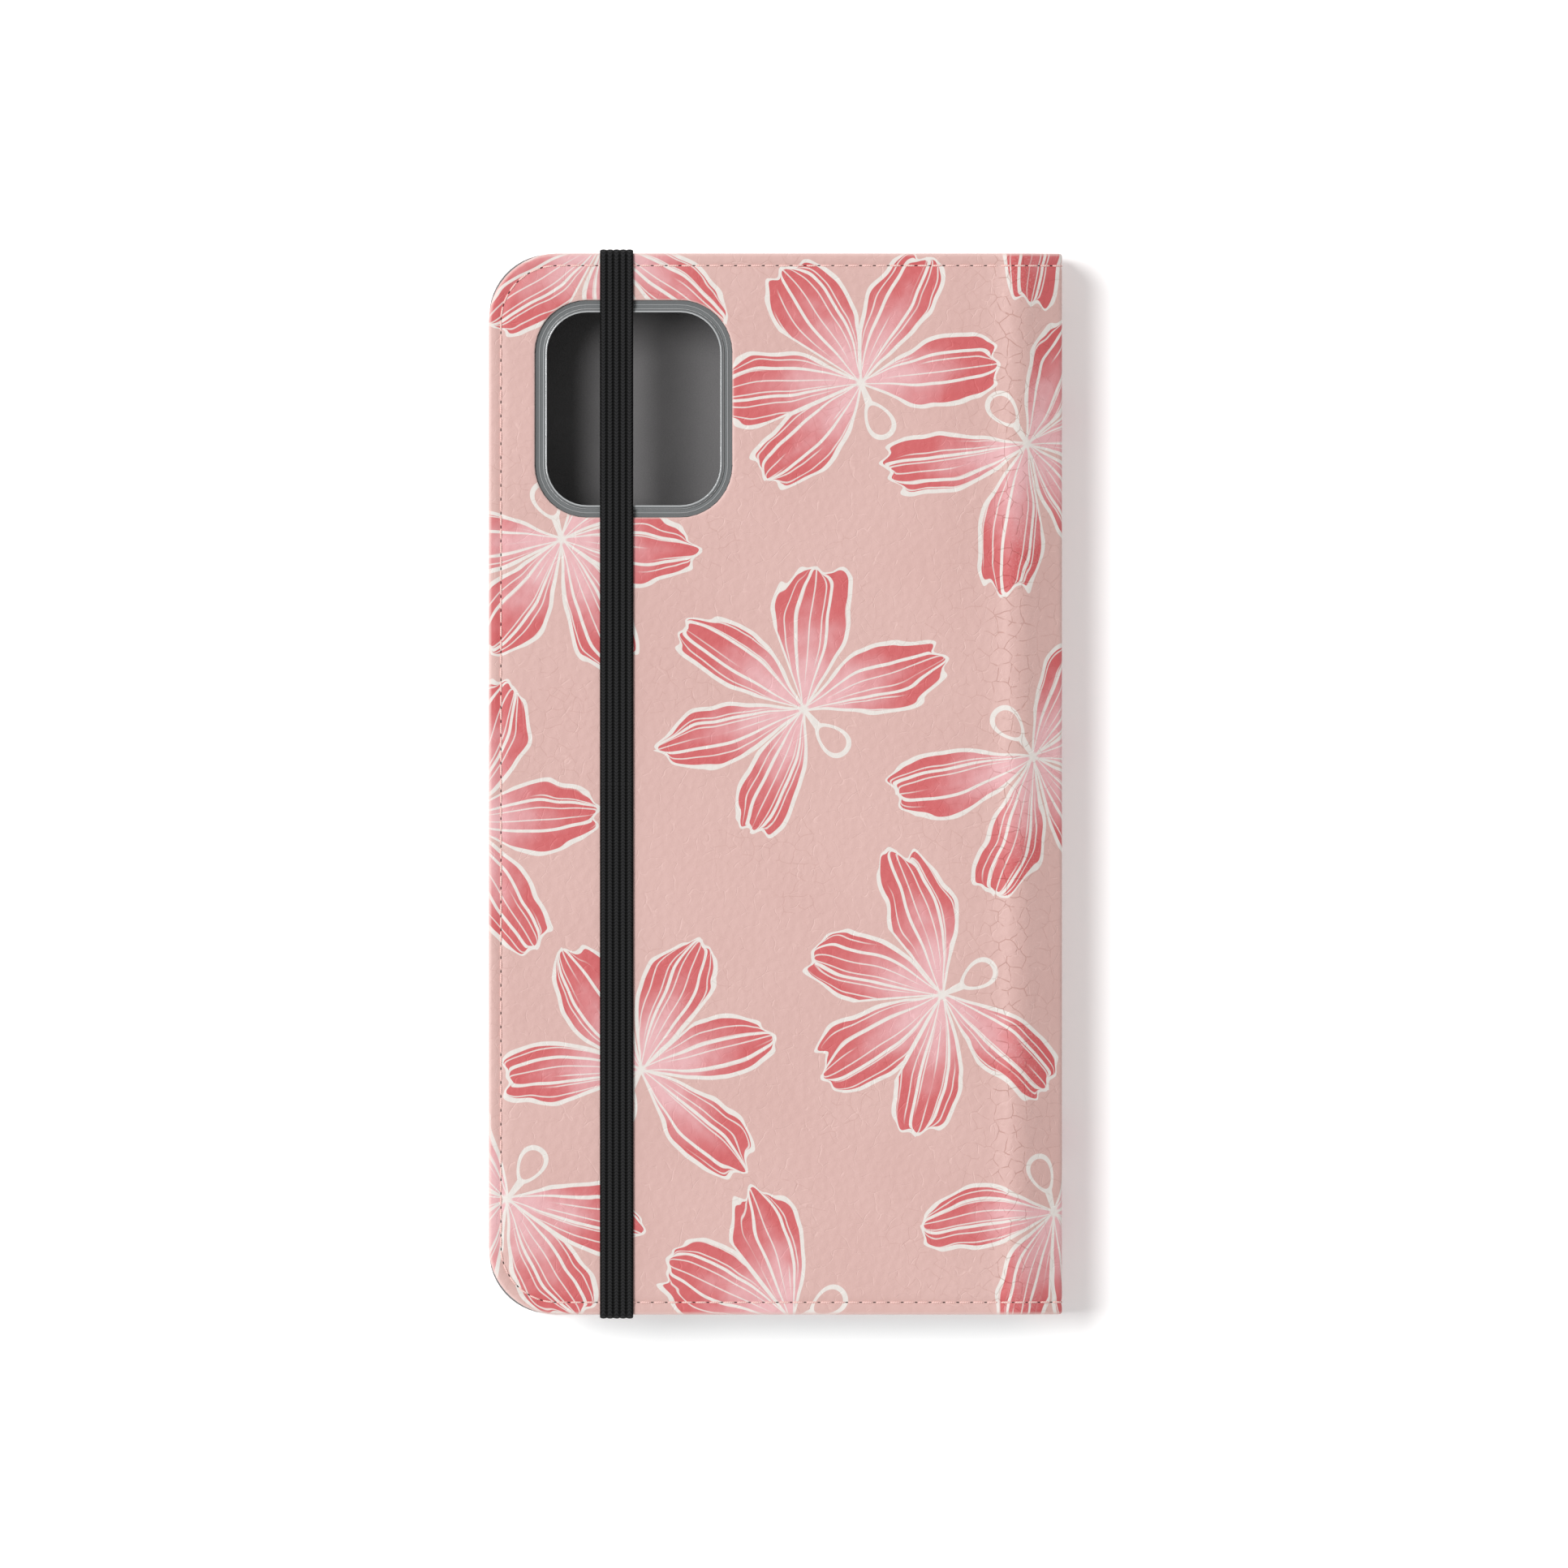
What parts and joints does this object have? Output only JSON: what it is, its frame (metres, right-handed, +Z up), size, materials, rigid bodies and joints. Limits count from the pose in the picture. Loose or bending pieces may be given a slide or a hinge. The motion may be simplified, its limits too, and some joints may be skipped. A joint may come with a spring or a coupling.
{
  "type": "folio phone case",
  "caption": "Book-style folio phone case with a stiffened printed wrap, a hinged spine, a hard phone shell, card pockets and an elastic closure band.",
  "frame": {"origin": "under the middle of the closed case, on the surface that the front cover lies on", "axes": "+Z up through the back cover (the side with the camera cut-out), +X towards the spine, +Y towards the top of the phone"},
  "size_m": [0.0842, 0.1572, 0.0179],
  "materials": {
    "printed_leather": null,
    "suede_lining": "short-napped dark grey microsuede",
    "board": "raw greyboard",
    "adhesive": "double-sided acrylic adhesive film",
    "shell_plastic": "moulded grey polycarbonate, satin with a polished rim",
    "elastic": "black braided elastic, five lengthwise ribs",
    "thread": "thin pale pink polyester thread",
    "grey_thread": "thin dark grey polyester thread"
  },
  "bodies": {
    "front_cover": {"front_skin": "printed_leather", "front_stitching": "thread", "front_board": "board", "front_lining": "suede_lining", "slip_pocket": "suede_lining", "card_pocket_inner": "suede_lining", "card_pocket_middle": "suede_lining", "card_pocket_outer": "suede_lining", "pocket_stitching": "grey_thread", "front_fold_skin": "printed_leather", "front_fold_lining": "suede_lining"},
    "spine": {"spine_skin": "printed_leather", "spine_board": "board", "spine_lining": "suede_lining"},
    "back_cover": {"back_skin": "printed_leather", "back_stitching": "thread", "back_board": "board", "back_lining": "suede_lining", "shell_adhesive": "adhesive", "phone_shell": "shell_plastic", "elastic_end_top": "elastic", "elastic_end_bottom": "elastic", "back_fold_skin": "printed_leather", "back_fold_lining": "suede_lining"},
    "band": {"elastic_band": "elastic"}
  },
  "joints": [
    {"name": "front_fold", "type": "hinge", "parent": "front_cover", "child": "spine", "pos_m": [0.04075, 0, 0.0014], "axis": [0, 1, 0], "range_deg": [0, 90], "deforming": ["front_fold_skin", "front_fold_lining"]},
    {"name": "back_fold", "type": "hinge", "parent": "spine", "child": "back_cover", "pos_m": [0.04075, 0, 0.0156], "axis": [0, 1, 0], "range_deg": [0, 90], "deforming": ["back_fold_skin", "back_fold_lining"]},
    {"name": "band_stretch", "type": "slide", "parent": "back_cover", "child": "band", "axis": [-1, 0, 0], "range_m": [0, 0.022], "stiffness_N_per_m": 60}
  ]
}
